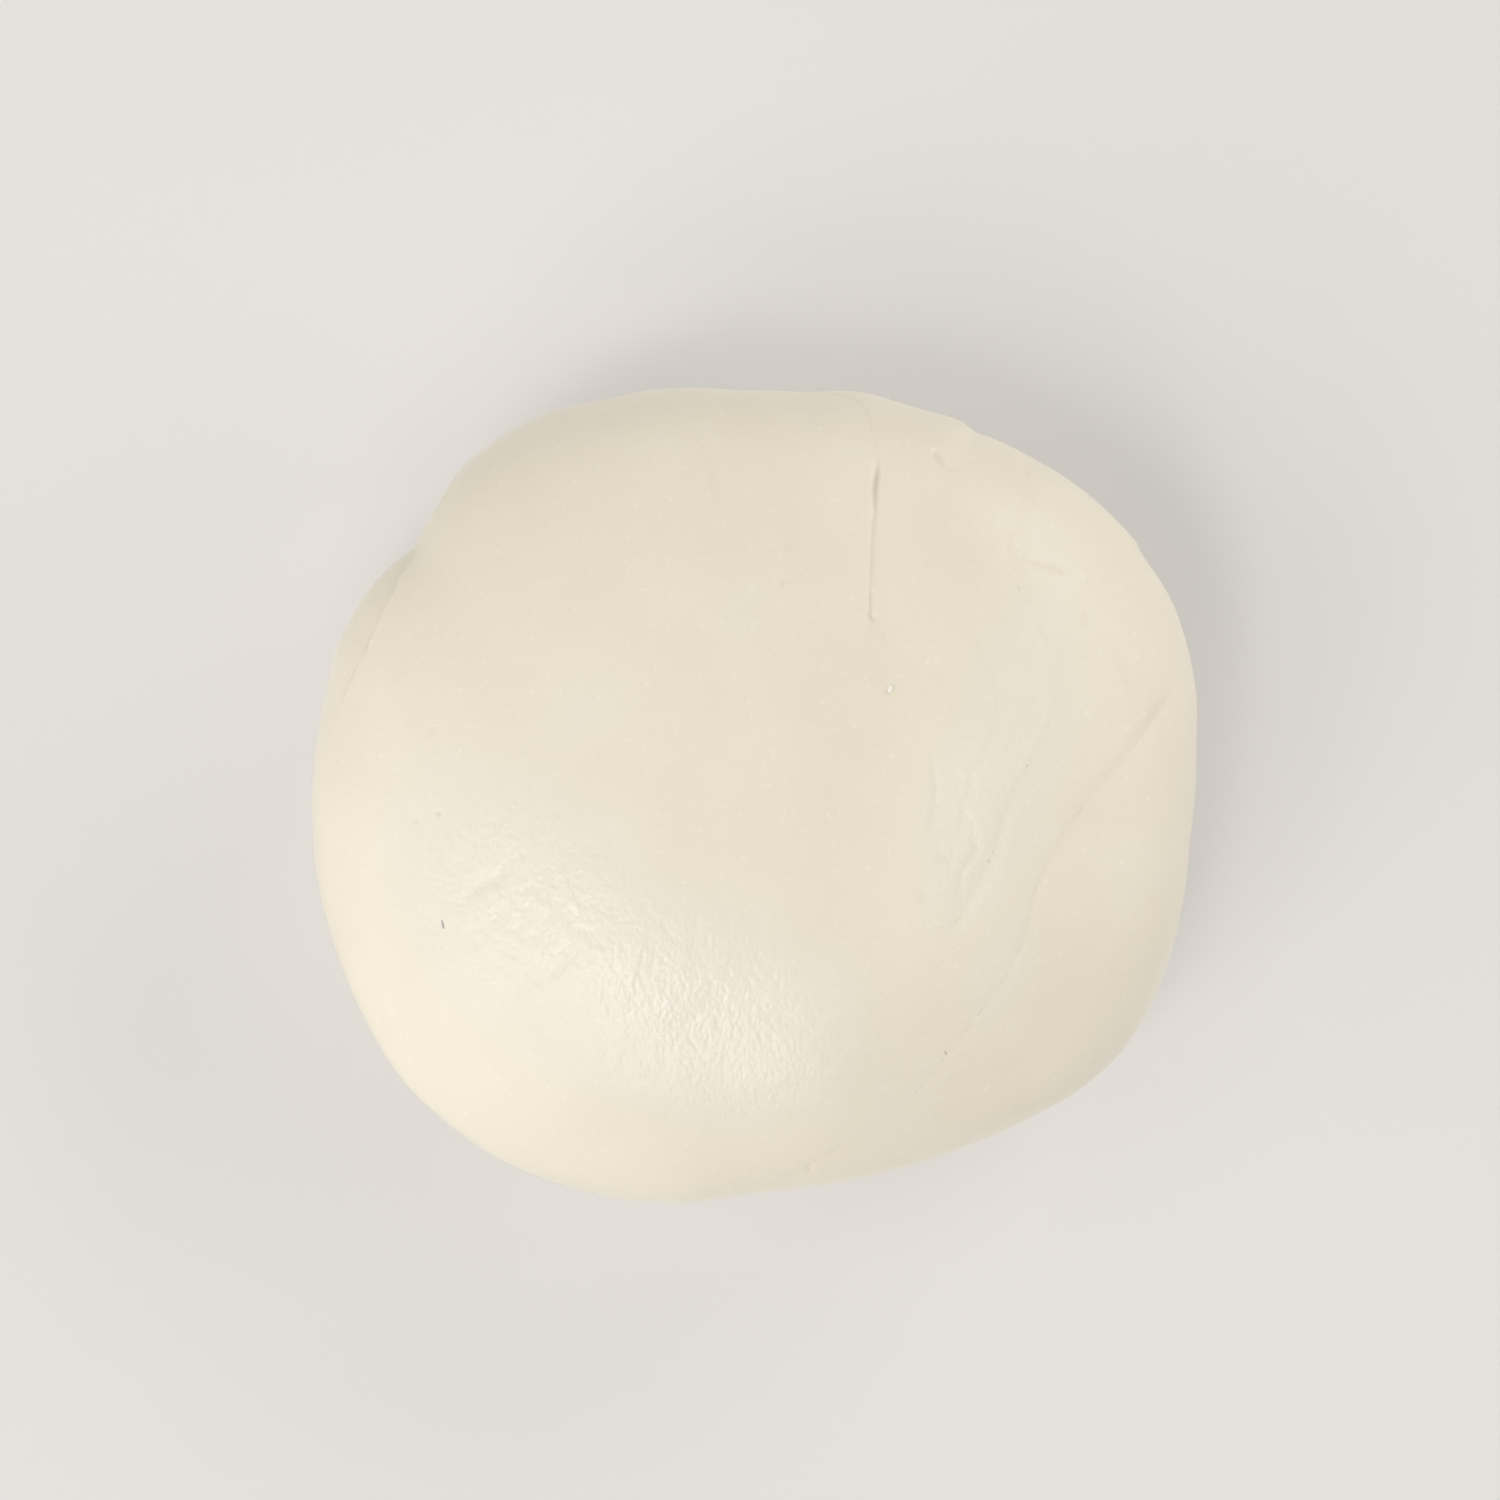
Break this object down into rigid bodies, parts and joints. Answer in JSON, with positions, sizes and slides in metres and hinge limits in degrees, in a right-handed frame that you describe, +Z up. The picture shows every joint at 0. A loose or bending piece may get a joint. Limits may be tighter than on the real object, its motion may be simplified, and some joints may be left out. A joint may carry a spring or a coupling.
{
  "type": "shaving soap puck",
  "caption": "Hand-pressed puck of cream shaving soap: a domed, rounded lump with pressed fold seams, a crack in its crown and a flat rest face.",
  "frame": {"origin": "middle of the bounding box, at the flat rest face", "axes": "+Z up from the rest face, +X along the puck's length, +Y across it towards the edge that the crack runs in from"},
  "size_m": [0.076, 0.07, 0.031],
  "materials": {
    "soap_main": "waxy satin soap",
    "soap_left": "waxy satin soap",
    "soap_right": "waxy satin soap",
    "soap_lower_right": "waxy satin soap"
  },
  "bodies": {
    "root": {"main_mass": "soap_main", "left_tuck": "soap_left", "right_fold": "soap_right", "lower_right_fold": "soap_lower_right"}
  },
  "joints": []
}
